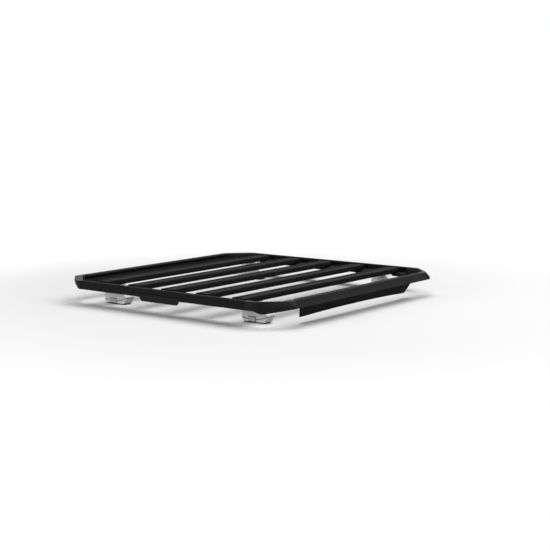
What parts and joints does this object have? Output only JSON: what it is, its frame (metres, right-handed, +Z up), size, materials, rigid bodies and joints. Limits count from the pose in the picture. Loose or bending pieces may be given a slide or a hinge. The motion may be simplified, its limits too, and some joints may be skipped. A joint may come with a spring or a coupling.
{
  "type": "flat platform roof rack",
  "caption": "Flat platform roof rack: T-slot slats on ledged side rails, front and rear rails joined by moulded corners, a folded wind deflector, side plates and clamp feet.",
  "frame": {"origin": "on the floor, under the middle of the rack's box", "axes": "+X to the vehicle's front, +Y to its left, +Z up"},
  "size_m": [1.461, 1.505, 0.13],
  "materials": {
    "black_extrusion": "black powder coat on extruded aluminium",
    "black_sheet": "black powder coat on folded aluminium sheet",
    "corner_moulding": "fine-textured black moulding",
    "pale_plastic": "pale grey satin moulding",
    "rubber": "matt dark rubber"
  },
  "bodies": {
    "root": {"slat_1": "black_extrusion", "slat_2": "black_extrusion", "slat_3": "black_extrusion", "slat_4": "black_extrusion", "slat_5": "black_extrusion", "side_rail_left": "black_extrusion", "side_rail_right": "black_extrusion", "front_rail": "black_extrusion", "rear_rail": "black_extrusion", "corner_front_left": "corner_moulding", "corner_front_right": "corner_moulding", "corner_rear_left": "corner_moulding", "corner_rear_right": "corner_moulding", "wind_deflector": "black_sheet", "side_plate_left": "black_sheet", "side_plate_right": "black_sheet", "foot_front_housing_left": "pale_plastic", "foot_front_housing_right": "pale_plastic", "foot_front_seal_left": "rubber", "foot_front_seal_right": "rubber", "foot_front_base_left": "pale_plastic", "foot_front_base_right": "pale_plastic", "foot_front_pad_left": "rubber", "foot_front_pad_right": "rubber", "foot_front_latch_left": "pale_plastic", "foot_front_latch_right": "pale_plastic", "foot_rear_housing_left": "pale_plastic", "foot_rear_housing_right": "pale_plastic", "foot_rear_seal_left": "rubber", "foot_rear_seal_right": "rubber", "foot_rear_base_left": "pale_plastic", "foot_rear_base_right": "pale_plastic", "foot_rear_pad_left": "rubber", "foot_rear_pad_right": "rubber", "foot_rear_latch_left": "pale_plastic", "foot_rear_latch_right": "pale_plastic"}
  },
  "joints": []
}
